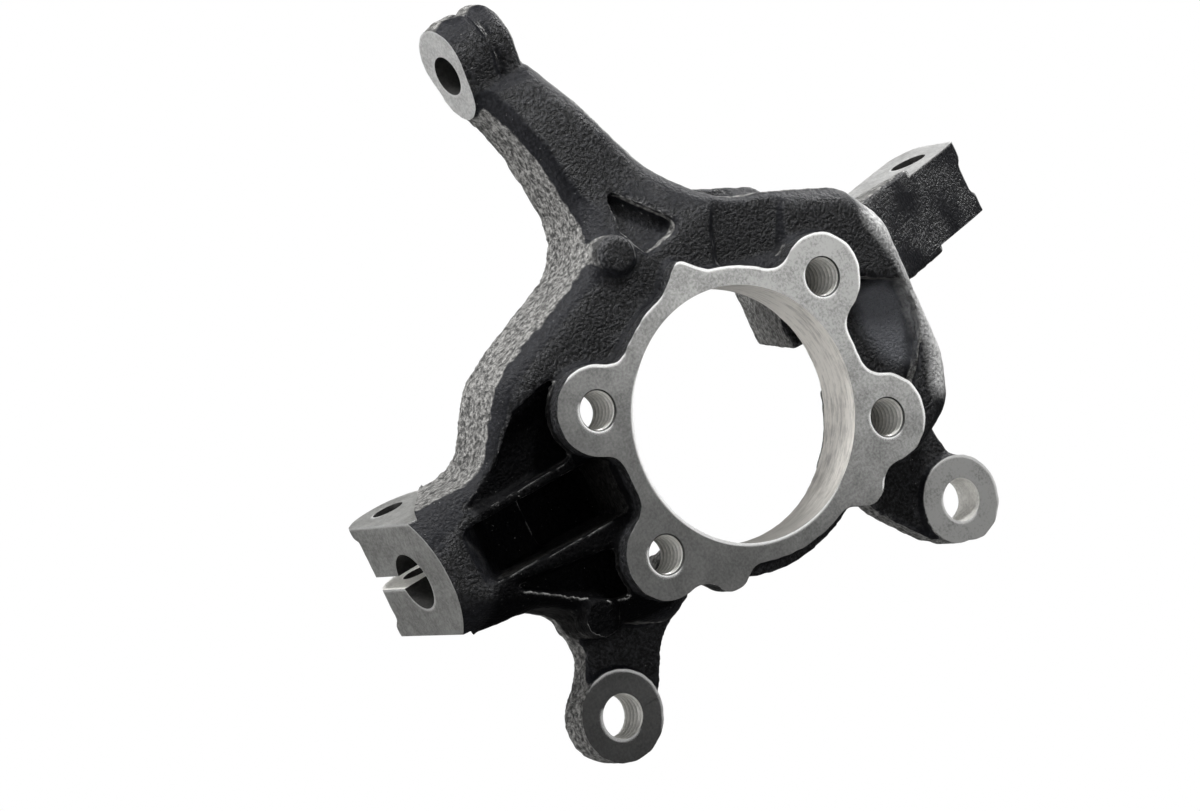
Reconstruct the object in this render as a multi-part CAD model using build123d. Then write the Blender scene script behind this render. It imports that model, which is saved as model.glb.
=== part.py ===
from build123d import *
from math import cos, radians, sin
import os

# Steering knuckle for a strut front suspension, one iron casting, sizes in millimetres.
# X points to the caliper side, Y inboard along the hub axis, Z up.
# The origin is the centre of the hub bore, on the machined flange face.

# Hub flange, its bore and its four threaded holes
bore_radius = 42.0
bore_depth = 18.5
rim_width = 6.3
flange_step = 7.0
flange_overlap = 2.0
bolt_span_x = 52.0
bolt_span_z = 96.5
bolt_hole_radius = 6.2
bolt_chamfer = 0.9
upper_thread_depth = 26.0
lobe_radius = 14.8
lobe_blend = 8.0
nib_reach = 13.8
nib_rise = 1.0
nib_half_height = 15.0
nib_tip_radius = 2.5
corner_lobe_x = 41.0
corner_lobe_z = 29.5
corner_lobe_radius = 7.5
ring_wall = 11.0
boss_radius = 12.5
upper_boss_depth = 33.0

# Shell behind the flange
shell_front = 6.5
shell_back = 39.0
shell_top = 86.5
shell_left = -58.0
shell_right = 44.5
edge_round = 8.0
web_back = 19.0
shell_wall = 9.0
hollow_reach = 56.0
hollow_bottom = -66.0
clearance_radius = 54.0
ledge_front = 28.0
web_step_depth = 2.5
neck_rib_left = -19.0
neck_rib_right = 17.0
neck_rib_top = -44.0

# Caliper ears and the webs that carry them
ear_x = 70.0
ear_z = 75.5
ear_face = 24.0
ear_thickness = 13.0
ear_radius = 15.3
ear_hole_radius = 7.4
ear_flat_reach = 14.2
ear_flat_angle = -16.0
ear_web_front = 26.5

# Steering arm and tie-rod lug
arm_root_x = -62.0
arm_knee_x = -84.0
arm_knee_y = 18.5
arm_end_x = -130.0
arm_end_top = 2.0
arm_corner_x = -64.0
arm_corner_z = 30.5
lug_x = -137.7
lug_y = 45.0
lug_face_z = -21.7
lug_height = 22.6
lug_face_radius = 12.1
lug_radius = 13.4
lug_flare_height = 4.0
lug_groove_height = 13.0
lug_groove_width = 3.2
lug_groove_depth = 1.8
lug_overhang = 4.0
lug_length = 10.5
lug_taper = 3.0
lug_top_round = 5.0
tie_rod_radius = 6.8

# Strut slab
slab_left = -33.5
slab_thickness = 26.5
slab_top = 151.0
slab_foot = 41.5
strut_hole_y = 57.5
strut_hole_z = 134.0
strut_spacing = 55.0
strut_line_lean = 10.0
strut_hole_radius = 6.5
slab_groove_width = 12.0
slab_groove_depth = 3.6

# Neck and ball-joint clamp
clamp_x = -1.2
clamp_y = 36.1
clamp_face_z = -115.5
clamp_nose_radius = 24.6
clamp_nose_height = 24.0
clamp_nose_spread = 9.0
neck_top = -57.0
neck_back = 57.0
clamp_left = -21.6
clamp_right = 18.2
clamp_front = 11.5
clamp_bore_radius = 9.8
clamp_bore_depth = 27.0
clamp_barrel_radius = 16.0
clamp_barrel_height = 33.0
slit_width = 4.6
slit_height = 30.0
pinch_y = 57.8
pinch_z = -103.1
pinch_hole_radius = 5.3
pinch_boss_radius = 14.0
pinch_waist_radius = 12.8
pinch_pad = 4.0

# Recesses and small cast features
trough_top = -50.0
trough_end = -108.0
trough_foot = -91.0
trough_step = -77.0
trough_floor = 22.0
trough_deep_floor = 27.0
side_recess_floor = 13.0
upper_pocket_floor = 13.5
arm_recess_depth = 6.0
pad_radius = 6.3
pad_height = 1.5
left_pad = (-65.5, -14.5)
right_pad = (36.0, -72.0)
right_pad_front = 11.0
lower_spot_depth = 15.5
spot_radius = 9.5

# Room past a face for cuts that run out of the casting
over = 40.0


def level(depth):
    """Plane square to the hub axis at a depth inboard of the flange face, drawn in X and Z."""
    return Plane.XZ.offset(-depth)


def between(profile, front, back):
    """Solid of a profile drawn in X and Z, from a front depth to a back depth."""
    return extrude(level(back) * profile, amount=back - front)


def across(profile, left, right):
    """Solid of a profile drawn in Y and Z, from one X to another."""
    return extrude(Plane.YZ.offset(left) * profile, amount=right - left)


def upward(profile, bottom, top):
    """Solid of a profile drawn in X and Y, from one Z to another."""
    return extrude(Plane.XY.offset(bottom) * profile, amount=top - bottom)


def rounded(points, radii):
    """Closed outline with one corner radius for each point."""
    return make_face(FilletPolyline(*points, radius=radii, close=True))


def rod(x, z, radius, front, back):
    """Round solid along the hub axis."""
    return between(Pos(x, z) * Circle(radius), front, back)


def countersink(x, z, radius, face, chamfer):
    """Cone that breaks the outboard edge of a hole along the hub axis."""
    return level(face + chamfer) * Pos(x, z, chamfer / 2) * Cone(radius, radius + chamfer, chamfer)


def bolt_places():
    """Centres of the four hub bolts in X and Z, lower pair first."""
    return [(side * bolt_span_x / 2, end * bolt_span_z / 2) for end in (-1, 1) for side in (-1, 1)]


def strut_places():
    """Centres of the two strut bolts in Y and Z, upper one first."""
    lean = radians(strut_line_lean)
    lower = (strut_hole_y - strut_spacing * sin(lean), strut_hole_z - strut_spacing * cos(lean))
    return [(strut_hole_y, strut_hole_z), lower]


def body_outline():
    """Shell, steering arm and neck seen along the hub axis; the neck runs on past the clamp face."""
    neck_end = clamp_face_z - edge_round
    return rounded(
        [
            (shell_left, 50), (-47, 76), (-31, shell_top), (20, shell_top - 1),
            (36, 79), (shell_right, 62), (shell_right, 44), (38, 34),
            (38, -34), (50, -50), (38.5, -70), (22.5, -89), (18.4, neck_end),
            (-22.8, neck_end), (-25.2, -88), (-48.5, -71), (-70, -13.5), (-104, -15.5), (arm_end_x, lug_face_z),
            (arm_end_x, arm_end_top), (-80, 19.5), (arm_corner_x, arm_corner_z),
        ],
        [60, 14, 18, 20, 12, 10, 10, 4, 6, 10, 14, 22, 0, 0, 12, 18, 22, 20, 0, 0, 40, 30],
    )


def body_plan():
    """Shell and steering arm seen from above; the arm thins and bends inboard."""
    return rounded(
        [
            (ear_x, shell_front), (arm_root_x, shell_front), (arm_knee_x, arm_knee_y), (-112, 23), (-134, 33),
            (-134, 57), (-114, 48), (arm_knee_x, 45), (-60, shell_back), (ear_x, shell_back),
        ],
        [0, 20, 20, 30, 0, 0, 30, 40, 30, 0],
    )


def neck_side():
    """Neck seen from the side, with its front sloping in to the clamp and its back reaching the pinch boss."""
    bottom = clamp_face_z - over
    slope = (clamp_front - shell_front) / (neck_top - clamp_face_z)
    return make_face(Polyline(
        (shell_front, neck_top), (clamp_front + slope * over, bottom), (neck_back, bottom), (neck_back, pinch_z),
        (49, -94), (36, -83), (36, -70), (shell_back, neck_top), close=True,
    ))


def front_edges(solid):
    """Edges where the outboard faces meet the side walls."""
    faces = [face for face in solid.faces() if face.normal_at().Y < -0.5]
    edges = [edge for face in faces for edge in face.edges()]
    return [edge for edge in edges if sum(edge.is_same(other) for other in edges) == 1]


def clamp_nose():
    """Material outside the round outboard end of the clamp, which spreads upward into the neck."""
    top = clamp_face_z + clamp_nose_height
    block = upward(Pos(clamp_x, 0) * Rectangle(4 * over, 2 * clamp_y), clamp_face_z, top)
    round_end = loft([
        Plane.XY.offset(clamp_face_z) * Pos(clamp_x, clamp_y) * Circle(clamp_nose_radius),
        Plane.XY.offset(top) * Pos(clamp_x, clamp_y) * Circle(clamp_nose_radius + clamp_nose_spread),
    ])
    return block - round_end


def body():
    """Shell, arm and neck in one piece, with a rounded outboard edge and a hollow back."""
    room = upward(body_plan(), neck_top, slab_top) + across(neck_side(), -ear_x, ear_x)
    block = between(body_outline(), 0, lug_y + lug_radius) & room
    block = fillet(front_edges(block), edge_round) - clamp_nose()
    window = Pos(0, (slab_top + hollow_bottom) / 2) * Rectangle(2 * hollow_reach, slab_top - hollow_bottom)
    rib = Pos((neck_rib_left + neck_rib_right) / 2, neck_rib_top - over) * Rectangle(
        neck_rib_right - neck_rib_left, 2 * over)
    hollow = (offset(body_outline(), -shell_wall) & window) - rib
    return block - between(hollow, web_back, shell_back + over)


def hub_clearance():
    """Open space behind the bore, wider towards the back."""
    front = level(bore_depth) * Circle(bore_radius + 0.5)
    back = level(shell_back + 1) * Circle(clearance_radius)
    return loft([front, back])


def flange_outline():
    """Face of the hub flange: a rim with four bolt lobes, a nib and two corner lobes."""
    outline = Circle(bore_radius + rim_width)
    for x, z in bolt_places():
        outline += Pos(x, z) * Circle(lobe_radius)
    for end in (-1, 1):
        outline += Pos(corner_lobe_x, end * corner_lobe_z) * Circle(corner_lobe_radius)
    outline += rounded(
        [(-bore_radius, nib_half_height), (-bore_radius - nib_reach, nib_rise), (-bore_radius, -nib_half_height)],
        [0, nib_tip_radius, 0],
    )
    return offset(offset(outline, lobe_blend), -lobe_blend)


def flange():
    """Flange plate and the rim around the bore."""
    return between(flange_outline(), 0, flange_step + flange_overlap) + rod(0, 0, bore_radius + rim_width, 0, bore_depth)


def bosses_and_ring():
    """Ring around the bore and bosses behind the lobes; the upper pair is long enough for blind threads."""
    bosses = rod(0, 0, bore_radius + ring_wall, flange_step, bore_depth)
    for x, z in bolt_places():
        bosses += rod(x, z, boss_radius, flange_step, upper_boss_depth if z > 0 else web_back)
    return bosses


def ears():
    """Two caliper ears on their webs."""
    back = ear_face + ear_thickness
    solid = rod(ear_x, ear_z, ear_radius, ear_face, back) + rod(ear_x, -ear_z, ear_radius, ear_face, back)
    upper = rounded([(30, 76), (60, 82), (82, 64), (60, 46), (36, 36)], [0, 6, 6, 10, 0])
    lower = rounded(
        [(34, -44), (47, -29.5), (55, -48.5), (71.5, -58.5), (64, -88), (48, -76), (32, -78), (22, -92)],
        [0, 3, 14, 4, 4, 12, 12, 0],
    )
    solid += between(upper, ear_web_front, back)
    solid += between(lower, ear_web_front, back)
    flat = Pos(ear_x, ear_z) * Rot(0, 0, ear_flat_angle) * Pos(ear_flat_reach + over / 2, 0) * Rectangle(over, over)
    return solid - between(flat, 0, over)


def lug():
    """Tie-rod lug: a flared machined end, a shallow groove and a rounded top."""
    def oval(radius):
        outer = Pos(lug_x - lug_overhang, lug_y) * Circle(radius)
        inner = Pos(lug_x - lug_overhang + lug_length, lug_y - 1) * Circle(radius - lug_taper)
        return make_hull(outer.edges() + inner.edges())

    flare_top = lug_face_z + lug_flare_height
    top = lug_face_z + lug_height
    groove = lug_face_z + lug_groove_height
    flare = loft([Plane.XY.offset(lug_face_z) * oval(lug_face_radius), Plane.XY.offset(flare_top) * oval(lug_radius)])
    cap = upward(oval(lug_radius), groove + lug_groove_width / 2, top)
    cap = fillet(cap.faces().sort_by(Axis.Z)[-1].edges(), lug_top_round)
    solid = flare + upward(oval(lug_radius), flare_top, groove - lug_groove_width / 2) + cap
    return solid + upward(oval(lug_radius - lug_groove_depth), flare_top, top - lug_top_round)


def strut_slab():
    """Leaning slab that the strut bracket grips, with a groove across its top end."""
    profile = rounded(
        [
            (26, slab_foot), (60.5, slab_foot + 8.5), (61.5, 104), (79, slab_top - 10),
            (76, slab_top), (50, slab_top - 1), (44, 138), (20, 84),
        ],
        [0, 0, 24, 6, 5, 3, 20, 4],
    )
    slab = across(profile, slab_left, slab_left + slab_thickness)
    middle = slab_left + slab_thickness / 2
    groove = across(Pos(65, slab_top + over / 2 - slab_groove_depth) * Rectangle(over, over),
                    middle - slab_groove_width / 2, middle + slab_groove_width / 2)
    return slab - groove


def pinch_boss():
    """Round lugs of the clamp that the pinch bolt pulls together, and the barrel around its bore."""
    centre = Pos(pinch_y, pinch_z)
    waist = across(centre * Circle(pinch_waist_radius), clamp_left, clamp_right)
    left = across(centre * Circle(pinch_boss_radius), clamp_left, clamp_left + pinch_pad)
    right = across(centre * Circle(pinch_boss_radius), clamp_right - pinch_pad, clamp_right)
    barrel = Pos(clamp_x, clamp_y) * Circle(clamp_barrel_radius)
    return waist + left + right + upward(barrel, clamp_face_z, clamp_face_z + clamp_barrel_height)


def clamp_faces():
    """Everything outside the machined faces of the clamp."""
    side = make_face(Polyline((18, clamp_face_z), (70, -79.3), (90, -79.3), (90, clamp_face_z - 9), close=True))
    left = across(side, clamp_left - over, clamp_left)
    right = across(side, clamp_right, clamp_right + over)
    bottom = upward(Pos(clamp_x, clamp_y) * Rectangle(3 * over, 3 * over), clamp_face_z - over, clamp_face_z)
    return left + right + bottom


def trough():
    """Trough between the two ribs that run from the clamp to the hub, with a sloping foot and a step in its floor."""
    plan = rounded([(-12.5, trough_end), (6.5, trough_end), (9, trough_top), (-11.5, trough_top)], [6, 6, 0, 0])
    side = make_face(Polyline(
        (0, trough_end), (clamp_front - 2, trough_end), (trough_floor, trough_foot), (trough_floor, trough_step),
        (trough_deep_floor, trough_step + 1), (trough_deep_floor, trough_top), (0, trough_top), close=True,
    ))
    return between(plan, 0, over) & across(side, -over, over)


def arm_recess():
    """Triangular recess on the arm root; its floor follows the slope of the arm."""
    triangle = rounded([(-84, -1.5), (-63, 14), (-60, -4), (-70, -6.5)], [2, 3, 2, 2])
    slope = (arm_knee_y - shell_front) / (arm_root_x - arm_knee_x)
    floor_left = shell_front + arm_recess_depth + slope * over
    section = Polyline(
        (arm_root_x - over, 0), (arm_root_x + over, 0), (arm_root_x + over, shell_front),
        (arm_root_x, shell_front + arm_recess_depth), (arm_root_x - over, floor_left), close=True,
    )
    return between(triangle, 0, over) & upward(make_face(section), -over, over)


def recesses():
    """Shallow recesses in the outboard side of the casting."""
    left = rounded(
        [(-16, -105), (-25.5, -84), (-38, -71), (-42, -52), (-30, -44), (-15.5, -50)],
        [1, 10, 6, 3, 3, 3],
    )
    right = rounded([(9.8, -100), (17.8, -54), (36, -50), (31.5, -68)], [1, 3, 3, 8])
    pocket = rounded([(-19, 64), (-9, 82), (7, 80), (19, 71), (25, 63), (12, 46), (-12, 46)],
                     [3, 5, 8, 8, 4, 4, 4])
    cuts = between(left, 0, side_recess_floor) + between(right, 0, side_recess_floor)
    step = rounded([(-72, 30), (-57, 21.5), (-44, 17), (-38, 42), (-60, 54)], [2, 2, 2, 4, 2])
    cuts += between(step, 0, shell_front + web_step_depth)
    return cuts + between(pocket, 0, upper_pocket_floor) + arm_recess()


def shell_ledge():
    """Ledge behind the corner between the arm and the shell."""
    outline = rounded([(-72, 24), (-68.5, 33), (-58.5, 56), (-50, 60), (-52, 30)], [0, 2, 4, 0, 0])
    return between(outline, ledge_front, shell_back)


def pads():
    """Two round cast pads."""
    left = rod(*left_pad, pad_radius, shell_front - pad_height, web_back)
    right = rod(*right_pad, pad_radius, right_pad_front, ear_face + ear_thickness)
    return left + right


def holes():
    """Bore, threaded holes, bolt holes, tie-rod hole, clamp bore with its slit, and strut holes."""
    cuts = rod(0, 0, bore_radius, 0, bore_depth)
    for x, z in bolt_places():
        cuts += rod(x, z, bolt_hole_radius, 0, upper_thread_depth if z > 0 else shell_back + over)
        cuts += countersink(x, z, bolt_hole_radius, 0, bolt_chamfer)
        if z < 0:
            cuts += rod(x, z, spot_radius, lower_spot_depth, shell_back + over)
    for end in (-1, 1):
        cuts += rod(ear_x, end * ear_z, ear_hole_radius, ear_face, shell_back + over)
    cuts += upward(Pos(lug_x, lug_y) * Circle(tie_rod_radius), lug_face_z, lug_face_z + lug_height)
    cuts += upward(Pos(clamp_x, clamp_y) * Circle(clamp_bore_radius), clamp_face_z, clamp_face_z + clamp_bore_depth)
    slit = Pos(clamp_x, clamp_y + over / 2) * Rectangle(slit_width, over)
    cuts += upward(slit, clamp_face_z, clamp_face_z + slit_height)
    cuts += across(Pos(pinch_y, pinch_z) * Circle(pinch_hole_radius), clamp_left, clamp_right)
    for y, z in strut_places():
        cuts += across(Pos(y, z) * Circle(strut_hole_radius), slab_left, slab_left + slab_thickness)
    return cuts


def knuckle():
    """The whole casting with its machined faces and holes."""
    casting = body() + shell_ledge() + bosses_and_ring() - hub_clearance() + pinch_boss()
    casting -= recesses() + trough()
    casting += flange() + ears() + lug() + strut_slab() + pads()
    return casting - clamp_faces() - holes()


os.makedirs("parts", exist_ok=True)
export_step(knuckle(), "parts/knuckle.step")
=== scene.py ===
import math

import bpy
import bmesh
import numpy as np
from mathutils import Matrix, Vector, noise
from mathutils.kdtree import KDTree


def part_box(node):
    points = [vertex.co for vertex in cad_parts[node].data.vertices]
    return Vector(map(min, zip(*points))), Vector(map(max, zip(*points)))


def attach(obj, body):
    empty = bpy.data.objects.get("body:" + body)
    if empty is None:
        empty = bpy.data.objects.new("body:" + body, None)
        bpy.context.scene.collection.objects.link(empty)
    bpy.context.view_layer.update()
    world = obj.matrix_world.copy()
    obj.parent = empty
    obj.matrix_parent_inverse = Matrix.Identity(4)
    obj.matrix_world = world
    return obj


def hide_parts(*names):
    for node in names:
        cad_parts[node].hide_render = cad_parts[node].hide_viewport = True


# Looks of the steering knuckle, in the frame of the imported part, which is in metres. The sizes below are
# in millimetres unless their name says otherwise.

MM = 0.001

# Directions of the part
INBOARD = (0, 1, 0)
OUTBOARD = (0, -1, 0)
UP = (0, 0, 1)
DOWN = (0, 0, -1)
RIGHT = (1, 0, 0)
LEFT = (-1, 0, 0)

# Sizes shared with the solid
BORE_RADIUS = 42.0
BORE_DEPTH = 18.5
BOLT_SPAN_X = 52.0
BOLT_SPAN_Z = 96.5
BOLT_RADIUS = 6.2
UPPER_THREAD = 26.0
LOWER_THREAD = 15.5
SPOT_RADIUS = 9.5
EAR_X = 70.0
EAR_Z = 75.5
EAR_FACE = 24.0
EAR_BACK = 37.0
EAR_HOLE = 7.4
LUG = (-137.7, 45.0)
LUG_FACE = -21.7
LUG_TOP = 0.9
TIE_ROD_RADIUS = 6.8
SLAB_LEFT = -33.5
SLAB_RIGHT = -7.0
STRUT_RADIUS = 6.5
STRUT_HOLES = ((57.5, 134.0), (47.949, 79.836))
CLAMP = (-1.2, 36.1)
CLAMP_FACE = -115.5
CLAMP_LEFT = -21.6
CLAMP_RIGHT = 18.2
CLAMP_BORE = 9.8
CLAMP_BORE_TOP = -88.5
SLIT_WIDTH = 4.6
SLIT_TOP = -85.5
PINCH = (57.8, -103.1)
PINCH_RADIUS = 5.3

# Sizes of the visual model alone
PADS = {"left_pad": (-65.9, -15.3, 3.9, 12.0), "right_pad": (34.4, -75.2, 6.0, 16.0)}
PAD_RADIUS = 6.4
CHAMFER = 0.6
TAPPED_EAR_HOLE = EAR_HOLE - 0.2
THREAD_PITCH = 2.2
THREAD_SEGMENTS = 44
CREST_SINK = 0.1
GROOVE_REACH = 1.1
GROOVE_DEPTH = 0.8
ROUND_SEGMENTS = 64
BORE_FILL_SEGMENTS = 128
BORE_SEGMENTS = 192
SHARP_DEGREES = 35

# How the casting is made rough and then cut, with the reach of the cutters past the part
ALLOWANCE = 3.0
OVERLAP = 0.3
THREAD_OVERLAP = 1.2
PINCH_FILL = 12.8
VOXEL = 1.25
SMOOTHING = 5
FAR = 200.0
THROUGH = 60.0
RUN_OUT = 20.0
REACH = 8.0
SHORT_REACH = 5.0
EAR_SPOT_RADIUS = 20
EAR_SPOT_DEPTH = 9
SLIT_LENGTH = 45
SLIT_FILL_END = 56

# Heights of the uneven skin, and its waves in each metre
WAVE_HEIGHT = 0.10
WAVE_SCALE = 140
GRAIN_HEIGHT = 0.08
WALL_GRAIN_HEIGHT = 0.22
GRAIN_SCALE = 330

# Limits for telling machined faces from the skin
FLUSH = 0.02
NEAR = 0.1
SQUARE = 0.99
WALL_LEAN = 0.3

# Limits for finding the solid's machined planes, and for taking out slivers and loose bits
SAME_PLACE_METRES = 1e-7
IN_PLANE_METRES = 2e-5
IN_PLANE_SQUARE = 0.999
MERGE_METRES = 8e-6
SMALL_ISLAND = 200

# Zones of the skin that look different from the rest: name, outline in X and Z, start and end in Y.
# The first is painted shade over the neck, the second painted light on a pocket of the shell and the third
# a painted highlight along the shell's upper edge; the last keeps the flange plate free of the side-wall
# look.
ZONES = (
    ("dark", ((-40, -48), (-37, -72), (-25, -86), (-17, -99), (6, -101), (21, -113), (31, -95), (45, -72),
              (44, -48), (0, -38)), 5.0, 31.0),
    ("pocket_light", ((-13, 64), (-13, 80), (8, 86), (20, 80), (14, 66), (0, 62)), 9.0, 30.0),
    ("lit", ((-40, 80), (-26, 92), (-2, 92), (16, 88), (32, 78), (28, 73), (14, 79), (-1, 81.5), (-17, 82),
             (-34, 77)), 5.5, 22.0),
    ("plate", ((-FAR, -FAR), (-FAR, FAR), (FAR, FAR), (FAR, -FAR)), -1.0, 6.2),
)
ZONE_BORDER = 2.0
PAD_ZONE_RADIUS = 8.5
PAD_ZONE_SPAN = (-1.0, 6.0)

# Kinds of face, in the order of the materials
SKIN, FLANGE, BORE_WALL, EAR, CLAMP_END, LUG_END, SLAB, HOLE, SHADED_HOLE = range(9)

# Colours, each from dark to light where there are two
WEB_COLOURS = ((0.0012, 0.0013, 0.0015), (0.024, 0.0245, 0.027))
# Grey sand-cast side walls, made lighter by painted light from the side
ROUGH_AND_LIT_WALL_COLOURS = ((0.036, 0.036, 0.035), (0.33, 0.326, 0.314))
BAND_COLOURS = ((0.005, 0.0052, 0.0065), (0.011, 0.0115, 0.0138))
BACK_COLOUR = (0.020, 0.0205, 0.0215)
# Painted highlight, for light lines along edges and for skin that faces up near the outboard side
HIGHLIGHT_COLOUR = (0.50, 0.50, 0.49)
# Painted light on a pocket of the shell, then a painted highlight along the shell's upper edge
POCKET_LIGHT_COLOUR = (0.110, 0.114, 0.126)
LIT_COLOUR = (0.60, 0.60, 0.595)
RIDGE_COLOUR = (0.13, 0.13, 0.132)
# Painted shade in the hollows of the skin
HOLLOW_SHADE_COLOUR = (0.003, 0.003, 0.0035)
# Painted shade over the front of the neck
NECK_SHADE_COLOUR = (0.0008, 0.0008, 0.001)
SPECK_COLOUR = (0.35, 0.35, 0.34)
# Painted shade in the roots of the threads
GROOVE_SHADE_COLOUR = (0.22, 0.215, 0.20)
# Painted highlight along the edges of machined faces
METAL_HIGHLIGHT_COLOUR = (1.0, 1.0, 0.99)

# Direction that the painted highlight lines along edges turn to, and the fineness of the metal's streaks
# along X, Y and Z
LIGHT_SIDE = (-0.6, 0.0, 0.8)
EVEN_STREAKS = (1000.0, 1000.0, 1000.0)
BORE_STREAKS = (150, 900, 150)

# Camera and floor
FOCAL_PIXELS = 4317.604
PHOTO_WIDTH = 1200.0
SENSOR_WIDTH = 36.0
FLOOR_SPAN_METRES = 3.0
FLOOR_GAP_METRES = 0.03


def placed(name, data):
    """Object of a mesh, a light or a camera, put in the scene."""
    obj = bpy.data.objects.new(name, data)
    bpy.context.scene.collection.objects.link(obj)
    return obj


def mesh_object(name, verts, faces):
    mesh = bpy.data.meshes.new(name)
    mesh.from_pydata([tuple(v) for v in verts], [], [tuple(f) for f in faces])
    mesh.update()
    return placed(name, mesh)


def from_work(name, work):
    """Object of the edited mesh, which is freed."""
    mesh = bpy.data.meshes.new(name)
    work.to_mesh(mesh)
    work.free()
    return placed(name, mesh)


def lathe(name, base, axis, rings, segments):
    """Closed solid of rings (distance along the axis, radius or radius by segment), in millimetres."""
    axis = Vector(axis).normalized()
    first = axis.orthogonal().normalized()
    second = axis.cross(first)
    verts = []
    for along, radii in rings:
        for k in range(segments):
            turn = 2 * math.pi * k / segments
            radius = radii[k] if hasattr(radii, "__len__") else radii
            point = Vector(base) + axis * along + (first * math.cos(turn) + second * math.sin(turn)) * radius
            verts.append(point * MM)
    faces = []
    for row in range(len(rings) - 1):
        for k in range(segments):
            a, b = row * segments + k, row * segments + (k + 1) % segments
            faces.append((a, b, b + segments, a + segments))
    low, high = len(verts), len(verts) + 1
    verts.append((Vector(base) + axis * rings[0][0]) * MM)
    verts.append((Vector(base) + axis * rings[-1][0]) * MM)
    last = (len(rings) - 1) * segments
    for k in range(segments):
        faces.append((low, (k + 1) % segments, k))
        faces.append((high, last + k, last + (k + 1) % segments))
    return mesh_object(name, verts, faces)


def rod(name, base, axis, start, end, radius, segments=ROUND_SEGMENTS):
    return lathe(name, base, axis, [(start, radius), (end, radius)], segments)


def block(name, low, high):
    corners = [(x, y, z) for x in (low[0], high[0]) for y in (low[1], high[1]) for z in (low[2], high[2])]
    faces = [(0, 1, 3, 2), (4, 6, 7, 5), (0, 4, 5, 1), (2, 3, 7, 6), (0, 2, 6, 4), (1, 5, 7, 3)]
    return mesh_object(name, [Vector(c) * MM for c in corners], faces)


def thread(base, axis, length, radius):
    """Cutter of a threaded hole: its radius waves along a helix."""
    depth = 0.5 * THREAD_PITCH
    rings = [(-1.0, radius + 0.2)]
    steps = int(length / (THREAD_PITCH / 4))
    for row in range(steps + 1):
        along = length * row / steps
        radii = []
        for k in range(THREAD_SEGMENTS):
            phase = (along / THREAD_PITCH + k / THREAD_SEGMENTS) % 1.0
            radii.append(radius - CREST_SINK + depth * (1 - abs(2 * phase - 1)))
        rings.append((along, radii))
    return lathe("cut", base, axis, rings, THREAD_SEGMENTS)


def joined(name, objects):
    """One object of several, without booleans."""
    work = bmesh.new()
    for obj in objects:
        work.from_mesh(obj.data)
        bpy.data.objects.remove(obj)
    return from_work(name, work)


def apply_modifiers(obj):
    """Turns the object's modifiers into mesh."""
    bpy.context.view_layer.update()
    graph = bpy.context.evaluated_depsgraph_get()
    mesh = bpy.data.meshes.new_from_object(obj.evaluated_get(graph))
    obj.modifiers.clear()
    obj.data = mesh


def cut(obj, cutter):
    """Takes the cutter out of the object."""
    change = obj.modifiers.new("cut", "BOOLEAN")
    change.operation = "DIFFERENCE"
    change.solver = "MANIFOLD"
    change.object = cutter
    apply_modifiers(obj)
    bpy.data.objects.remove(cutter)


def drill(obj, base, axis, start, end, radius, segments=ROUND_SEGMENTS):
    cut(obj, rod("cut", base, axis, start, end, radius, segments))


def mill(obj, low, high):
    cut(obj, block("cut", low, high))


def plane_allowance(source, normal, offset, name):
    """Slab of casting that stands proud of one machined plane, made from the faces in that plane."""
    normal = Vector(normal)
    work = bmesh.new()
    work.from_mesh(source.data)
    bmesh.ops.remove_doubles(work, verts=work.verts, dist=SAME_PLACE_METRES)
    keep = set()
    for face in work.faces:
        away = abs(face.calc_center_median().dot(normal) - offset * MM)
        if face.normal.dot(normal) > IN_PLANE_SQUARE and away < IN_PLANE_METRES:
            keep.add(face)
    bmesh.ops.delete(work, geom=list(set(work.faces) - keep), context="FACES")
    for v in work.verts:
        v.co -= normal * MM
    made = bmesh.ops.extrude_face_region(work, geom=list(work.faces), use_keep_orig=True)
    for v in [g for g in made["geom"] if isinstance(g, bmesh.types.BMVert)]:
        v.co += normal * (ALLOWANCE + 1) * MM
    return from_work(name, work)


def hub_places():
    """X and Z of the four flange holes, the lower two first."""
    return [(sx * BOLT_SPAN_X / 2, sz * BOLT_SPAN_Z / 2) for sz in (-1, 1) for sx in (-1, 1)]


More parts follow.
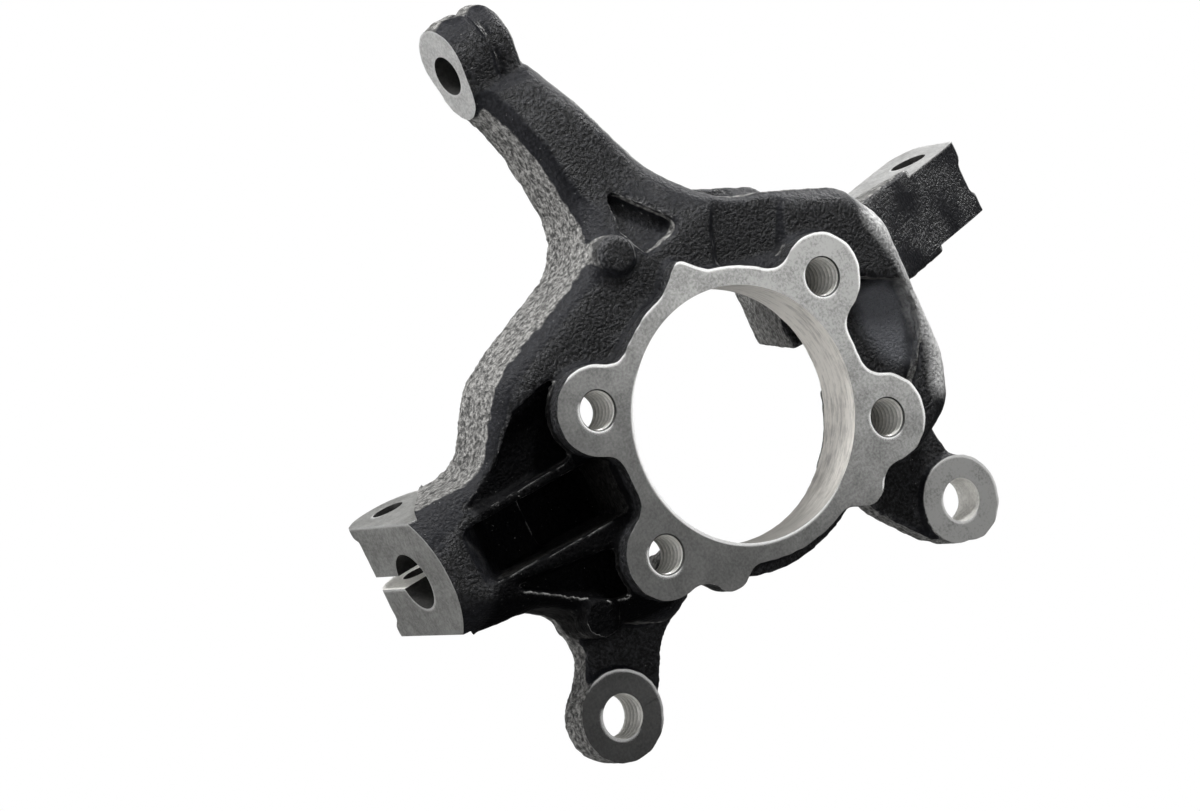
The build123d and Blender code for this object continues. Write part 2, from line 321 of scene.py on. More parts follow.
def rough_casting(source):
    """The casting before machining: holes filled, machined faces proud, corners soft."""
    parts = [placed("casting", source.data.copy())]
    planes = [(OUTBOARD, 0.0), (OUTBOARD, -EAR_FACE), (DOWN, -LUG_FACE), (DOWN, -CLAMP_FACE),
              (LEFT, -CLAMP_LEFT), (RIGHT, CLAMP_RIGHT), (LEFT, -SLAB_LEFT), (RIGHT, SLAB_RIGHT)]
    for k, (normal, offset) in enumerate(planes):
        parts.append(plane_allowance(source, normal, offset, f"proud_{k}"))

    def fill(base, axis, start, end, radius, segments=ROUND_SEGMENTS):
        parts.append(rod("fill", base, axis, start, end, radius, segments))

    fill((0, 0, 0), INBOARD, -ALLOWANCE, BORE_DEPTH, BORE_RADIUS + OVERLAP, BORE_FILL_SEGMENTS)
    for x, z in hub_places():
        depth = UPPER_THREAD if z > 0 else LOWER_THREAD
        fill((x, 0, z), INBOARD, -ALLOWANCE, depth, BOLT_RADIUS + THREAD_OVERLAP)
    for end in (-1, 1):
        fill((EAR_X, 0, end * EAR_Z), INBOARD, EAR_FACE - ALLOWANCE, EAR_BACK, EAR_HOLE + OVERLAP)
    fill((*LUG, 0), UP, LUG_FACE - ALLOWANCE, LUG_TOP, TIE_ROD_RADIUS + OVERLAP)
    fill((*CLAMP, 0), UP, CLAMP_FACE - ALLOWANCE, CLAMP_BORE_TOP, CLAMP_BORE + OVERLAP)
    half_slit = SLIT_WIDTH / 2 + OVERLAP
    parts.append(block("fill", (CLAMP[0] - half_slit, CLAMP[1], CLAMP_FACE - ALLOWANCE),
                       (CLAMP[0] + half_slit, SLIT_FILL_END, SLIT_TOP)))
    fill((0, *PINCH), RIGHT, CLAMP_LEFT + 1, CLAMP_RIGHT - 1, PINCH_FILL)
    fill((0, *PINCH), RIGHT, CLAMP_LEFT - ALLOWANCE, CLAMP_RIGHT + ALLOWANCE, PINCH_RADIUS + OVERLAP)
    for y, z in STRUT_HOLES:
        fill((0, y, z), RIGHT, SLAB_LEFT - ALLOWANCE, SLAB_RIGHT + ALLOWANCE, STRUT_RADIUS + OVERLAP)
    for x, z, front, back in PADS.values():
        fill((x, 0, z), INBOARD, front, back, PAD_RADIUS)

    casting = joined("knuckle_casting", parts)
    remesh = casting.modifiers.new("remesh", "REMESH")
    remesh.mode = "VOXEL"
    remesh.voxel_size = VOXEL * MM
    apply_modifiers(casting)
    soften = casting.modifiers.new("soften", "SMOOTH")
    soften.factor = 0.5
    soften.iterations = SMOOTHING
    apply_modifiers(casting)
    return casting


def vertex_rows(mesh):
    """Places, in metres, and normals of the vertices, one row for each."""
    count = len(mesh.vertices)
    co = np.zeros(count * 3)
    no = np.zeros(count * 3)
    mesh.vertices.foreach_get("co", co)
    mesh.vertex_normals.foreach_get("vector", no)
    return co.reshape(-1, 3), no.reshape(-1, 3)


def roughen(obj, low, high):
    """Uneven sand-cast skin, rougher away from the outboard side; it is kept inside the solid's box."""
    mesh = obj.data
    co, no = vertex_rows(mesh)
    move = np.zeros(len(co))
    for k in range(len(co)):
        p = Vector(co[k])
        side = min(1.0, max(0.0, (no[k][1] + 0.75) / 0.5))
        wave = WAVE_HEIGHT * noise.noise(p * WAVE_SCALE)
        move[k] = wave + (GRAIN_HEIGHT + WALL_GRAIN_HEIGHT * side) * noise.noise(p * GRAIN_SCALE)
    co += no * move[:, None] * MM
    co = np.clip(co, low, high)
    mesh.vertices.foreach_set("co", co.ravel())
    mesh.update()


def clamp_side(x, outward):
    """Cutter of one side of the clamp, whose machined face ends in a slope above."""
    low, high = sorted((x, x + outward * REACH))
    outline = [(12, CLAMP_FACE - 5), (12, CLAMP_FACE + 0.7), (18, CLAMP_FACE + 1.3), (70, -79.3),
               (90, -79.3), (90, CLAMP_FACE - 5)]
    verts = [Vector((v, y, z)) * MM for v in (low, high) for y, z in outline]
    n = len(outline)
    faces = [tuple(range(n)), tuple(range(2 * n - 1, n - 1, -1))]
    faces += [(k, k + n, (k + 1) % n + n, (k + 1) % n) for k in range(n)]
    cutter = mesh_object("cut", verts, faces)
    work = bmesh.new()
    work.from_mesh(cutter.data)
    bmesh.ops.recalc_face_normals(work, faces=work.faces)
    work.to_mesh(cutter.data)
    work.free()
    return cutter


def machine(obj):
    """Machined faces and holes, cut into the casting one after another."""
    mill(obj, (-FAR, -RUN_OUT, -FAR), (FAR, 0, FAR))
    for end in (-1, 1):
        drill(obj, (EAR_X, 0, end * EAR_Z), INBOARD, EAR_FACE - EAR_SPOT_DEPTH, EAR_FACE, EAR_SPOT_RADIUS)
    mill(obj, (-180, 20, LUG_FACE - 10), (-118, 70, LUG_FACE))
    mill(obj, (-60, -5, CLAMP_FACE - RUN_OUT), (60, 95, CLAMP_FACE))
    drill(obj, (0, 0, 0), INBOARD, -RUN_OUT, BORE_DEPTH + 1.5, BORE_RADIUS, BORE_SEGMENTS)
    cut(obj, clamp_side(CLAMP_LEFT, -1))
    cut(obj, clamp_side(CLAMP_RIGHT, 1))
    mill(obj, (SLAB_LEFT - REACH, 35, 62), (SLAB_LEFT, 95, 170))
    mill(obj, (SLAB_RIGHT, 35, 92), (SLAB_RIGHT + REACH, 95, 170))
    for x, z in hub_places():
        upper = z > 0
        mouth = BOLT_RADIUS + CHAMFER
        depth = UPPER_THREAD if upper else THROUGH
        rings = [(-2, mouth), (0, mouth), (CHAMFER, BOLT_RADIUS), (depth, BOLT_RADIUS)]
        cut(obj, lathe("cut", (x, 0, z), INBOARD, rings, ROUND_SEGMENTS))
        length = UPPER_THREAD if upper else LOWER_THREAD + 2
        cut(obj, thread((x, 2 * CHAMFER, z), INBOARD, length - 1.5, BOLT_RADIUS - CREST_SINK))
        if not upper:
            drill(obj, (x, 0, z), INBOARD, LOWER_THREAD, THROUGH, SPOT_RADIUS)
    for end, radius in ((1, EAR_HOLE), (-1, TAPPED_EAR_HOLE)):
        drill(obj, (EAR_X, 0, end * EAR_Z), INBOARD, EAR_FACE - SHORT_REACH, EAR_BACK + REACH, radius)
    cut(obj, thread((EAR_X, EAR_FACE + 0.8, -EAR_Z), INBOARD, EAR_BACK - EAR_FACE + 6, TAPPED_EAR_HOLE))
    drill(obj, (*LUG, 0), UP, LUG_FACE - SHORT_REACH, LUG_TOP + SHORT_REACH, TIE_ROD_RADIUS)
    drill(obj, (*CLAMP, 0), UP, CLAMP_FACE - REACH, CLAMP_BORE_TOP, CLAMP_BORE)
    mill(obj, (CLAMP[0] - SLIT_WIDTH / 2, CLAMP[1], CLAMP_FACE - REACH),
         (CLAMP[0] + SLIT_WIDTH / 2, CLAMP[1] + SLIT_LENGTH, SLIT_TOP))
    drill(obj, (0, *PINCH), RIGHT, CLAMP_LEFT - REACH, CLAMP_RIGHT + REACH, PINCH_RADIUS)
    for y, z in STRUT_HOLES:
        drill(obj, (0, y, z), RIGHT, SLAB_LEFT - REACH, SLAB_RIGHT + REACH, STRUT_RADIUS)


def clean(obj):
    """Takes out slivers and loose bits that the cuts leave."""
    work = bmesh.new()
    work.from_mesh(obj.data)
    bmesh.ops.triangulate(work, faces=work.faces)
    bmesh.ops.remove_doubles(work, verts=work.verts, dist=MERGE_METRES)
    bmesh.ops.dissolve_degenerate(work, edges=work.edges, dist=MERGE_METRES)
    bmesh.ops.triangulate(work, faces=work.faces)
    twins = {}
    for face in work.faces:
        twins.setdefault(frozenset(v.index for v in face.verts), []).append(face)
    doubled = [face for group in twins.values() if len(group) > 1 for face in group]
    bmesh.ops.delete(work, geom=doubled, context="FACES")
    seen = set()
    loose = []
    for face in work.faces:
        if face in seen:
            continue
        island = [face]
        seen.add(face)
        for member in island:
            for edge in member.edges:
                for other in edge.link_faces:
                    if other not in seen:
                        seen.add(other)
                        island.append(other)
        if len(island) < SMALL_ISLAND:
            loose += island
    bmesh.ops.delete(work, geom=loose, context="FACES")
    work.to_mesh(obj.data)
    work.free()


def flush(at, plane, lean):
    """Faces that lie in a machined plane; the lean is the part of their normal that points out of it."""
    return (np.abs(at - plane) < FLUSH) & (lean > SQUARE)


def sort_faces(obj):
    """Gives each face the material of its kind, from where it lies."""
    mesh = obj.data
    count = len(mesh.polygons)
    centre = np.zeros(count * 3)
    normal = np.zeros(count * 3)
    mesh.polygons.foreach_get("center", centre)
    mesh.polygons.foreach_get("normal", normal)
    x, y, z = (centre.reshape(-1, 3) / MM).T
    nx, ny, nz = normal.reshape(-1, 3).T
    kind = np.full(count, SKIN)
    kind[flush(y, 0.0, -ny)] = FLANGE
    on_bore = np.abs(np.hypot(x, z) - BORE_RADIUS) < 0.08
    kind[on_bore & (np.abs(ny) < 0.05) & (y < BORE_DEPTH + 2)] = BORE_WALL
    kind[flush(y, EAR_FACE, -ny) & (x > EAR_X - 20)] = EAR
    kind[flush(z, CLAMP_FACE, -nz)] = CLAMP_END
    clamp = (z < -75) & (y > 15)
    kind[clamp & (flush(x, CLAMP_LEFT, -nx) | flush(x, CLAMP_RIGHT, nx))] = CLAMP_END
    kind[flush(z, LUG_FACE, -nz) & (x < -115)] = LUG_END
    slab = (z > 60) & (y > 34)
    kind[slab & (flush(x, SLAB_LEFT, -nx) | flush(x, SLAB_RIGHT, nx))] = SLAB
    for hx, hz in hub_places():
        away = np.hypot(x - hx, z - hz)
        depth = (UPPER_THREAD if hz > 0 else LOWER_THREAD) + NEAR
        kind[(away < BOLT_RADIUS + 1.05) & (y > FLUSH) & (y < depth)] = HOLE
        # The chamfer at the mouth of each hub hole takes the painted shade of the narrow holes
        kind[(away < BOLT_RADIUS + 0.7) & (y > FLUSH) & (y < CHAMFER) & (np.abs(ny) > 0.2)] = SHADED_HOLE
        if hz < 0:
            kind[(away < SPOT_RADIUS + 0.05) & (np.abs(y - LOWER_THREAD) < FLUSH)] = HOLE
    for end in (-1, 1):
        away = np.hypot(x - EAR_X, z - end * EAR_Z)
        kind[(away < EAR_HOLE + 1.0) & (y > EAR_FACE + FLUSH) & (np.abs(ny) < 0.9)] = HOLE
    kind[(np.hypot(x - LUG[0], y - LUG[1]) < TIE_ROD_RADIUS + NEAR) & (np.abs(nz) < WALL_LEAN)] = SHADED_HOLE
    in_clamp = np.hypot(x - CLAMP[0], y - CLAMP[1]) < CLAMP_BORE + NEAR
    kind[in_clamp & (z < CLAMP_BORE_TOP + NEAR) & (z > CLAMP_FACE + FLUSH)] = SHADED_HOLE
    slit = (y > CLAMP[1]) & (z < SLIT_TOP + NEAR)
    kind[slit & flush(np.abs(x - CLAMP[0]), SLIT_WIDTH / 2, np.abs(nx))] = HOLE
    cross_holes = ((*PINCH, PINCH_RADIUS), *((*place, STRUT_RADIUS) for place in STRUT_HOLES))
    for hy, hz, radius in cross_holes:
        kind[(np.hypot(y - hy, z - hz) < radius + NEAR) & (np.abs(nx) < WALL_LEAN)] = SHADED_HOLE
    mesh.polygons.foreach_set("material_index", kind.astype(np.int32))


def bends(obj):
    """Places of the vertices and how much the skin bends there: above zero in hollows, below on ridges."""
    mesh = obj.data
    co, no = vertex_rows(mesh)
    count = len(co)
    pairs = np.zeros(len(mesh.edges) * 2, np.int32)
    mesh.edges.foreach_get("vertices", pairs)
    pairs = pairs.reshape(-1, 2)
    around = np.bincount(pairs.ravel(), minlength=count)
    total = np.zeros((count, 3))
    for a, b in ((0, 1), (1, 0)):
        np.add.at(total, pairs[:, a], co[pairs[:, b]])
    bend = ((total / around[:, None] - co) * no).sum(1) / (VOXEL * MM)
    for _ in range(4):
        spread = np.zeros(count)
        for a, b in ((0, 1), (1, 0)):
            np.add.at(spread, pairs[:, a], bend[pairs[:, b]])
        bend = 0.4 * bend + 0.6 * spread / around
    return co, bend


def mark(obj, name, values):
    """Writes one number for each vertex, as an attribute for the materials."""
    made = obj.data.attributes.new(name, "FLOAT", "POINT")
    made.data.foreach_set("value", np.array(values, np.float32))


def carry(obj, places, values, name):
    """Marks each vertex with the value of the nearest place."""
    tree = KDTree(len(places))
    for k, place in enumerate(places):
        tree.insert(place, k)
    tree.balance()
    mark(obj, name, [values[tree.find(v.co)[1]] for v in obj.data.vertices])


def inside(x, z, outline):
    """Which of the points lie in an outline of X and Z."""
    found = np.zeros(len(x), bool)
    for k in range(len(outline)):
        (ax, az), (bx, bz) = outline[k - 1], outline[k]
        crosses = (az > z) != (bz > z)
        at = ax + (z - az) * (bx - ax) / (bz - az if bz != az else 1e-9)
        found ^= crosses & (x < at)
    return found


def mark_zone(obj, outline, start, end, name):
    """Marks with 1 what lies inside an outline in X and Z between two values of Y, with soft borders."""
    x, y, z = (vertex_rows(obj.data)[0] / MM).T
    share = np.zeros(len(x))
    steps = (-ZONE_BORDER, 0.0, ZONE_BORDER)
    for dx in steps:
        for dz in steps:
            share += inside(x + dx, z + dz, outline) & (y > start) & (y < end)
    mark(obj, name, share / len(steps) ** 2)


def mark_grooves(obj):
    """Marks the threads from 0 at their crests to 1 at their roots."""
    x, y, z = (vertex_rows(obj.data)[0] / MM).T
    deep = np.zeros(len(x))
    tapped = [(*place, BOLT_RADIUS) for place in hub_places()] + [(EAR_X, -EAR_Z, TAPPED_EAR_HOLE)]
    for hx, hz, radius in tapped:
        away = np.hypot(x - hx, z - hz)
        near = away < radius + GROOVE_REACH
        deep[near] = np.clip((away[near] - radius) / GROOVE_DEPTH, 0, 1)
    mark(obj, "groove", deep)


def shade(mesh, angle):
    """Smooth shading that keeps edges sharper than the angle."""
    for polygon in mesh.polygons:
        polygon.use_smooth = True
    mesh.set_sharp_from_angle(angle=math.radians(angle))


def feed(tree, socket, value):
    """Gives an input a number, a colour or another node's output."""
    if isinstance(value, (int, float)):
        socket.default_value = value
    elif isinstance(value, tuple):
        socket.default_value = (*value, 1.0)
    else:
        tree.links.new(value, socket)


def noise_field(tree, scale, detail, rough):
    place = tree.nodes.new("ShaderNodeTexCoord")
    field = tree.nodes.new("ShaderNodeTexNoise")
    field.inputs["Scale"].default_value = scale
    field.inputs["Detail"].default_value = detail
    field.inputs["Roughness"].default_value = rough
    tree.links.new(place.outputs["Object"], field.inputs["Vector"])
    return field.outputs["Fac"]


def ramp(tree, source, low, high, out_low=0.0, out_high=1.0):
    """Smooth step from one output to the other while the source goes from low to high."""
    made = tree.nodes.new("ShaderNodeMapRange")
    made.interpolation_type = "SMOOTHSTEP"
    limits = (("From Min", low), ("From Max", high), ("To Min", out_low), ("To Max", out_high))
    for name, value in limits:
        made.inputs[name].default_value = value
    tree.links.new(source, made.inputs["Value"])
    return made.outputs["Result"]


def maths(tree, operation, a, b):
    made = tree.nodes.new("ShaderNodeMath")
    made.operation = operation
    feed(tree, made.inputs[0], a)
    feed(tree, made.inputs[1], b)
    return made.outputs["Value"]


def times(tree, a, b):
    return maths(tree, "MULTIPLY", a, b)


def larger(tree, a, b):
    return maths(tree, "MAXIMUM", a, b)


def mixed(tree, share, a, b):
    """Colour between a and b; each is a colour or an output."""
    made = tree.nodes.new("ShaderNodeMix")
    made.data_type = "RGBA"
    for name, value in (("Factor", share), ("A", a), ("B", b)):
        socket = [s for s in made.inputs if s.name == name and s.enabled][0]
        feed(tree, socket, value)
    return [s for s in made.outputs if s.enabled][0]


def bump(tree, height, distance, strength, after=None):
    """Normal that is tilted by a height in millimetres, on top of another normal if there is one."""
    made = tree.nodes.new("ShaderNodeBump")
    made.inputs["Distance"].default_value = distance * MM
    feed(tree, made.inputs["Strength"], strength)
    tree.links.new(height, made.inputs["Height"])
    if after is not None:
        tree.links.new(after, made.inputs["Normal"])
    return made.outputs["Normal"]


def new_material(name):
    material = bpy.data.materials.new(name)
    material.use_nodes = True
    return material, material.node_tree, material.node_tree.nodes["Principled BSDF"]


def attribute(tree, name):
    made = tree.nodes.new("ShaderNodeAttribute")
    made.attribute_name = name
    return made.outputs["Fac"]


def edge_light(tree, radius, start, end):
    """Share of a painted highlight: a thin light line along edges that turn towards the light side."""
    rounded = tree.nodes.new("ShaderNodeBevel")
    rounded.samples = 6
    rounded.inputs["Radius"].default_value = radius * MM
    plain = tree.nodes.new("ShaderNodeNewGeometry")
    found = []
    for normal in (rounded.outputs["Normal"], plain.outputs["Normal"]):
        lean = tree.nodes.new("ShaderNodeVectorMath")
        lean.operation = "DOT_PRODUCT"
        lean.inputs[1].default_value = LIGHT_SIDE
        tree.links.new(normal, lean.inputs[0])
        found.append(lean.outputs["Value"])
    return ramp(tree, maths(tree, "SUBTRACT", found[0], found[1]), start, end)


def skin():
    """Black coating over the sand-cast skin; the side walls are rougher and greyer, their grey partly
    painted light.
    Painted shade lies in hollows and over the neck, painted light in a pocket and on the rim, and painted
    highlights along edges.
    """
    material, tree, shader = new_material("cast_skin")
    geometry = tree.nodes.new("ShaderNodeNewGeometry")
    normal = tree.nodes.new("ShaderNodeSeparateXYZ")
    tree.links.new(geometry.outputs["Normal"], normal.inputs["Vector"])
    grain = noise_field(tree, 900.0, 3.0, 0.6)
    coarse = noise_field(tree, 620.0, 4.0, 0.7)
    patchy = noise_field(tree, 60.0, 3.0, 0.5)

    # How far the skin faces outboard, with a wavy border, and the zones that follow from it
    sway = times(tree, maths(tree, "SUBTRACT", patchy, 0.5), 0.35)
    facing = maths(tree, "ADD", times(tree, normal.outputs["Y"], -1.0), sway)
    plain = larger(tree, attribute(tree, "left_pad"), attribute(tree, "right_pad"))
    plain = larger(tree, plain, attribute(tree, "plate"))
    side = times(tree, ramp(tree, facing, 0.20, 0.36, 1.0, 0.0), maths(tree, "SUBTRACT", 1.0, plain))
    band = times(tree, ramp(tree, facing, 0.16, 0.30), ramp(tree, facing, 0.82, 0.99, 1.0, 0.0))
    # Skin that faces up near the outboard side, where a rim highlight is painted
    right = times(tree, ramp(tree, normal.outputs["Z"], 0.58, 0.86), ramp(tree, facing, 0.02, 0.40))
    bend = attribute(tree, "bend")
    ridge = ramp(tree, bend, -0.16, -0.05, 1.0, 0.0)
    # Hollows of the skin, where shade is painted
    hollow = ramp(tree, bend, 0.02, 0.14)
    # Where shade is painted over the neck
    dark = attribute(tree, "dark")

    # Colour, from the ground up
    fine_share = ramp(tree, grain, 0.40, 0.68)
    web = mixed(tree, fine_share, *WEB_COLOURS)
    # Side walls: rough grey skin, partly lightened as painted light
    wall = mixed(tree, ramp(tree, coarse, 0.36, 0.68), *ROUGH_AND_LIT_WALL_COLOURS)
    colour = mixed(tree, band, web, mixed(tree, fine_share, *BAND_COLOURS))
    colour = mixed(tree, side, colour, wall)
    colour = mixed(tree, ramp(tree, facing, -0.80, -0.50, 0.75, 0.0), colour, BACK_COLOUR)
    # Painted highlight of a rim light on the skin that faces up
    rim_highlight_share = times(tree, right, ramp(tree, coarse, 0.36, 0.60, 0.35, 0.95))
    colour = mixed(tree, rim_highlight_share, colour, HIGHLIGHT_COLOUR)
    # Painted light on a pocket of the shell, and a painted highlight along the shell's upper edge
    colour = mixed(tree, times(tree, attribute(tree, "pocket_light"), 0.85), colour, POCKET_LIGHT_COLOUR)
    lit_share = times(tree, attribute(tree, "lit"), ramp(tree, grain, 0.34, 0.62, 0.45, 1.0))
    colour = mixed(tree, lit_share, colour, LIT_COLOUR)
    ridge_share = times(tree, ridge, ramp(tree, grain, 0.42, 0.62, 0.1, 0.7))
    colour = mixed(tree, ridge_share, colour, RIDGE_COLOUR)
    # Painted shade in the hollows of the skin
    colour = mixed(tree, times(tree, hollow, 0.8), colour, HOLLOW_SHADE_COLOUR)
    # Painted shade over the front of the neck
    colour = mixed(tree, times(tree, dark, 0.93), colour, NECK_SHADE_COLOUR)
    speck_share = times(tree, ramp(tree, noise_field(tree, 1300.0, 2.0, 0.5), 0.72, 0.78), 0.4)
    colour = mixed(tree, speck_share, colour, SPECK_COLOUR)
    # Painted highlight: thin light lines along edges that turn towards the light side, kept out of hollows
    line = times(tree, edge_light(tree, 1.3, 0.10, 0.34), ramp(tree, coarse, 0.35, 0.60, 0.2, 0.9))
    out_of_hollows = ramp(tree, hollow, 0.2, 0.8, 1.0, 0.0)
    colour = mixed(tree, times(tree, line, out_of_hollows), colour, HIGHLIGHT_COLOUR)
    tree.links.new(colour, shader.inputs["Base Color"])

    # Gloss and grain
    shader.inputs["Roughness"].default_value = 0.42
    dull = larger(tree, larger(tree, dark, hollow), times(tree, band, 0.65))
    tree.links.new(ramp(tree, dull, 0.0, 1.0, 0.27, 0.03), shader.inputs["Specular IOR Level"])
    fine = bump(tree, grain, 1.6, maths(tree, "SUBTRACT", 1.0, times(tree, band, 0.6)))
    rough = bump(tree, coarse, 2.8, times(tree, side, 0.9), fine)
    tree.links.new(rough, shader.inputs["Normal"])
    return material


def metal(name, dark, light, roughness, metallic, streaks=EVEN_STREAKS, slope=None, line=0.6, grooved=False):
    """Bare machined iron with fine streaks. The slope is painted light, a change of brightness over X and Z:
    its rise in each millimetre of X and of Z, the two ends of the ramp, and the brightness at each end. The
    line is the strength of a painted highlight along edges; grooved threads get painted shade in their
    roots."""
    material, tree, shader = new_material(name)
    place = tree.nodes.new("ShaderNodeTexCoord")
    stretch = tree.nodes.new("ShaderNodeMapping")
    stretch.inputs["Scale"].default_value = streaks
    tree.links.new(place.outputs["Object"], stretch.inputs["Vector"])
    streak = tree.nodes.new("ShaderNodeTexNoise")
    streak.inputs["Scale"].default_value = 1.0
    streak.inputs["Detail"].default_value = 5.0
    streak.inputs["Roughness"].default_value = 0.7
    tree.links.new(stretch.outputs["Vector"], streak.inputs["Vector"])
    cloud = noise_field(tree, 110.0, 5.0, 0.65)
    streak_share = ramp(tree, streak.outputs["Fac"], 0.35, 0.65, 0.0, 0.6)
    share = maths(tree, "ADD", streak_share, ramp(tree, cloud, 0.35, 0.65, 0.0, 0.4))
    # Painted light: the face is lighter towards one end, as if lit from that side
    if slope:
        rise_x, rise_z, low, high, out_low, out_high = slope
        split = tree.nodes.new("ShaderNodeSeparateXYZ")
        tree.links.new(place.outputs["Object"], split.inputs["Vector"])
        across = times(tree, split.outputs["X"], rise_x / MM)
        along = times(tree, split.outputs["Z"], rise_z / MM)
        painted_light_ramp = ramp(tree, maths(tree, "ADD", across, along), low, high, out_low, out_high)
        share = times(tree, maths(tree, "ADD", share, 0.5), painted_light_ramp)
    colour = mixed(tree, share, dark, light)
    # Painted shade in the roots of the threads
    if grooved:
        colour = mixed(tree, times(tree, attribute(tree, "groove"), 0.8), colour, GROOVE_SHADE_COLOUR)
    # Painted highlight along edges that turn towards the light side
    if line:
        colour = mixed(tree, times(tree, edge_light(tree, 1.8, 0.05, 0.15), line), colour, METAL_HIGHLIGHT_COLOUR)
    tree.links.new(colour, shader.inputs["Base Color"])
    shader.inputs["Metallic"].default_value = metallic
    shader.inputs["Roughness"].default_value = roughness
    tree.links.new(bump(tree, streak.outputs["Fac"], 0.04, 0.5), shader.inputs["Normal"])
    return material


def materials():
    """One material for each kind of face, in their order. The machined faces are all one bare iron; the
    copies differ in brightness as painted light and shade, lit on the lug face and hole walls, darker on the
    ear faces.
    """
    return (
        skin(),
        metal("flange_face", (0.045, 0.045, 0.044), (0.39, 0.39, 0.38), 0.42, 0.7,
              slope=(-0.0062, 0.00705, -0.50, 0.70, 0.18, 1.0), line=0.95),
        metal("bore_wall", (0.20, 0.193, 0.18), (0.88, 0.85, 0.80), 0.36, 0.45, BORE_STREAKS,
              slope=(-0.024, 0.024, -1.4, 0.6, 0.15, 0.9), line=0),
        metal("ear_face", (0.028, 0.028, 0.028), (0.29, 0.29, 0.283), 0.42, 0.7,
              slope=(0.0, 0.01, -0.8, 0.8, 0.12, 1.0)),
        metal("clamp_face", (0.20, 0.20, 0.192), (0.42, 0.42, 0.408), 0.42, 0.8),
        metal("lug_face", (0.55, 0.55, 0.54), (0.90, 0.90, 0.89), 0.32, 0.8),
        metal("slab_face", (0.34, 0.34, 0.335), (0.64, 0.64, 0.63), 0.45, 0.8),
        metal("hole_wall", (0.65, 0.64, 0.61), (0.98, 0.97, 0.93), 0.38, 0.4, line=0, grooved=True),
        # Painted shade: walls of the tie rod, clamp, pinch and strut holes and the hub-hole chamfers made
        # near black
        metal("shaded_hole", (0.010, 0.010, 0.010), (0.035, 0.034, 0.032), 0.5, 0.3, line=0),
    )


def area(name, place, target, size, power):
    light = bpy.data.lights.new(name, "AREA")
    light.shape = "RECTANGLE"
    light.size, light.size_y = size
    light.energy = power
    obj = placed(name, light)
    obj.location = place
    obj.rotation_euler = (Vector(target) - Vector(place)).to_track_quat("-Z", "Y").to_euler()


def studio():
    """White background and soft lights: left, below, in front, one that rakes the grain, one from behind."""
    world = bpy.data.worlds.new("studio")
    bpy.context.scene.world = world
    world.use_nodes = True
    tree = world.node_tree
    back = tree.nodes["Background"]
    path = tree.nodes.new("ShaderNodeLightPath")
    seen = larger(tree, path.outputs["Is Camera Ray"], path.outputs["Is Transmission Ray"])
    strength = tree.nodes.new("ShaderNodeMapRange")
    strength.inputs["To Min"].default_value = 0.14
    strength.inputs["To Max"].default_value = 1.0
    tree.links.new(seen, strength.inputs["Value"])
    back.inputs["Color"].default_value = (1, 1, 1, 1)
    tree.links.new(strength.outputs["Result"], back.inputs["Strength"])
    area("key", (-1.15, 0.05, -0.25), (-0.03, 0.03, 0), (0.5, 0.5), 22)
    area("under", (-0.30, 0.05, -1.2), (0, 0.03, 0), (0.8, 0.6), 8)
    area("fill", (-0.02, -1.12, 0.62), (0, 0.02, 0), (0.55, 0.45), 3.0)
    area("grain", (-0.98, -0.42, 0.62), (0, 0.02, 0), (0.22, 0.22), 16)
    area("rim", (-0.45, 0.36, 1.05), (0, 0.03, 0.03), (0.35, 0.35), 9)


def floor(bottom):
    """Pale floor under the part; it is clear from below, where the camera stands, and lets light through."""
    span = FLOOR_SPAN_METRES
    corners = [(-span, -span, bottom), (span, -span, bottom), (span, span, bottom), (-span, span, bottom)]
    obj = mesh_object("floor", corners, [(0, 1, 2, 3)])
    material, tree, shader = new_material("floor")
    shader.inputs["Base Color"].default_value = (0.85, 0.85, 0.85, 1)
    shader.inputs["Roughness"].default_value = 0.8
    clear = tree.nodes.new("ShaderNodeBsdfTransparent")
    geometry = tree.nodes.new("ShaderNodeNewGeometry")
    path = tree.nodes.new("ShaderNodeLightPath")
    mix = tree.nodes.new("ShaderNodeMixShader")
    hidden = larger(tree, geometry.outputs["Backfacing"], path.outputs["Is Glossy Ray"])
    hidden = larger(tree, hidden, path.outputs["Is Shadow Ray"])
    tree.links.new(hidden, mix.inputs["Fac"])
    tree.links.new(shader.outputs["BSDF"], mix.inputs[1])
    tree.links.new(clear.outputs["BSDF"], mix.inputs[2])
    tree.links.new(mix.outputs["Shader"], tree.nodes["Material Output"].inputs["Surface"])
    obj.data.materials.append(material)


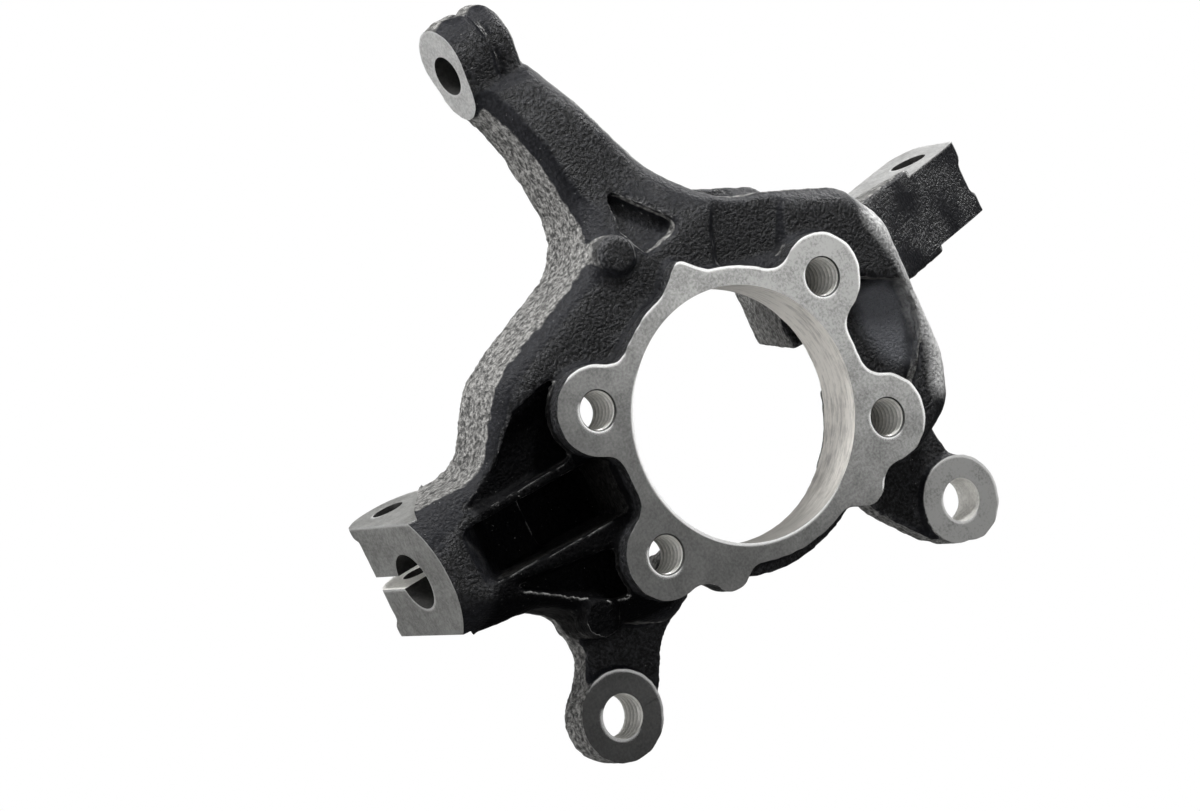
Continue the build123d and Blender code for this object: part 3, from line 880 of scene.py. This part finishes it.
def camera():
    """Camera fitted to the photograph."""
    data = bpy.data.cameras.new("camera")
    data.sensor_width = SENSOR_WIDTH
    data.lens = FOCAL_PIXELS * SENSOR_WIDTH / PHOTO_WIDTH
    data.clip_start = 0.01
    data.clip_end = 50.0
    right = Vector((0.42358507, -0.48696127, 0.76383533))
    up = -Vector((0.88851421, 0.05914166, -0.45502171))
    back = -Vector((0.17640346, 0.87141895, 0.45772353))
    matrix = Matrix((right, up, back)).transposed().to_4x4()
    matrix.translation = Vector((-269.355, -1197.141, -675.677)) * MM
    obj = placed("camera", data)
    obj.matrix_world = matrix
    bpy.context.scene.camera = obj


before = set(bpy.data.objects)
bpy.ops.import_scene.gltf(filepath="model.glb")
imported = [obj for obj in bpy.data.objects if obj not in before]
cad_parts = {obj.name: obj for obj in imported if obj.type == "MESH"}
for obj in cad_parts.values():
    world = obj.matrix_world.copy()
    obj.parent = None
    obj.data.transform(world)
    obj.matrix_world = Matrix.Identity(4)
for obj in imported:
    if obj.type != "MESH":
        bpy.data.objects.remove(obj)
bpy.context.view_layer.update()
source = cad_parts["knuckle"]
low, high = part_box("knuckle")
casting = rough_casting(source)
roughen(casting, np.array(low), np.array(high))
places, bend = bends(casting)
machine(casting)
clean(casting)
for name, outline, start, end in ZONES:
    mark_zone(casting, outline, start, end, name)
for name, (x, z, front, _) in PADS.items():
    turns = [k * math.pi / 6 for k in range(12)]
    ring = [(x + PAD_ZONE_RADIUS * math.cos(t), z + PAD_ZONE_RADIUS * math.sin(t)) for t in turns]
    mark_zone(casting, ring, front + PAD_ZONE_SPAN[0], front + PAD_ZONE_SPAN[1], name)
mark_grooves(casting)
carry(casting, places, bend, "bend")
casting.data.materials.clear()
for material in materials():
    casting.data.materials.append(material)
sort_faces(casting)
shade(casting.data, SHARP_DEGREES)
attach(casting, "root")
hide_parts("knuckle")
studio()
floor(low[2] - FLOOR_GAP_METRES)
camera()
bpy.context.scene.view_settings.view_transform = "Standard"
print("triangles", sum(len(p.vertices) - 2 for p in casting.data.polygons))
